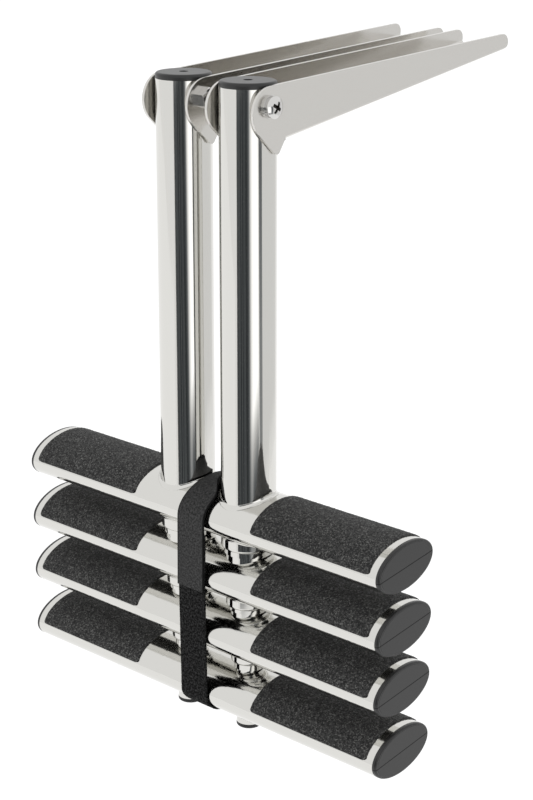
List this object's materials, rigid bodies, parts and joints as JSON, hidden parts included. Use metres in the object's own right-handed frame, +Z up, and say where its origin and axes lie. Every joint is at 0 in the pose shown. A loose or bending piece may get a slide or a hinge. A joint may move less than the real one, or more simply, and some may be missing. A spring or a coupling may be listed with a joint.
{
  "type": "telescopic boat ladder with four treads, closed",
  "caption": "Telescopic boat ladder: oval treads across two nested stainless stiles that swing between folded deck brackets, closed by a strap.",
  "frame": {"origin": "underside of the left bracket, on its centre line, at the screw hole nearest the pivot", "axes": "+X along the treads, to the right seen from outboard; +Y inboard, towards the brackets' tips; +Z up"},
  "size_m": [0.3386, 0.3429, 0.4531],
  "materials": {
    "bracket_steel": "satin",
    "screw_steel": "polished",
    "tube_steel": "mirror polished",
    "tread_steel": "mirror polished",
    "grip_pad": "gritty",
    "cap_plastic": "satin moulded",
    "foot_rubber": "matt",
    "strap_webbing": "woven pile"
  },
  "bodies": {
    "brackets": {"bracket_left": "bracket_steel", "bracket_right": "bracket_steel", "pivot_screw_left": "screw_steel", "pivot_screw_right": "screw_steel", "flat_washer_left": "screw_steel", "flat_washer_right": "screw_steel", "spring_washer_left": "screw_steel", "spring_washer_right": "screw_steel", "pivot_nut_left": "screw_steel", "pivot_nut_right": "screw_steel"},
    "upper_section": {"tread_1": "tread_steel", "tube_1_left": "tube_steel", "tube_1_right": "tube_steel", "grip_pad_1_left": "grip_pad", "grip_pad_1_right": "grip_pad", "end_cap_1_left": "cap_plastic", "end_cap_1_right": "cap_plastic", "top_cap_left": "cap_plastic", "top_cap_right": "cap_plastic", "strap": "strap_webbing"},
    "second_section": {"tread_2": "tread_steel", "tube_2_left": "tube_steel", "tube_2_right": "tube_steel", "grip_pad_2_left": "grip_pad", "grip_pad_2_right": "grip_pad", "end_cap_2_left": "cap_plastic", "end_cap_2_right": "cap_plastic"},
    "third_section": {"tread_3": "tread_steel", "tube_3_left": "tube_steel", "tube_3_right": "tube_steel", "grip_pad_3_left": "grip_pad", "grip_pad_3_right": "grip_pad", "end_cap_3_left": "cap_plastic", "end_cap_3_right": "cap_plastic"},
    "lowest_section": {"tread_4": "tread_steel", "tube_4_left": "tube_steel", "tube_4_right": "tube_steel", "grip_pad_4_left": "grip_pad", "grip_pad_4_right": "grip_pad", "end_cap_4_left": "cap_plastic", "end_cap_4_right": "cap_plastic", "foot_plug_left": "foot_rubber", "foot_plug_right": "foot_rubber"}
  },
  "joints": [
    {"name": "ladder_fold", "type": "hinge", "parent": "brackets", "child": "upper_section", "pos_m": [0.0295, -0.048, 0.0247], "axis": [-1, 0, 0], "range_deg": [0, 260]},
    {"name": "section_2_slide", "type": "slide", "parent": "upper_section", "child": "second_section", "axis": [0, -0.1564, -0.9877], "range_m": [0, 0.2366], "deforming": ["strap"]},
    {"name": "section_3_slide", "type": "slide", "parent": "second_section", "child": "third_section", "axis": [0, -0.1564, -0.9877], "range_m": [0, 0.2375]},
    {"name": "section_4_slide", "type": "slide", "parent": "third_section", "child": "lowest_section", "axis": [0, -0.1564, -0.9877], "range_m": [0, 0.2355]}
  ]
}
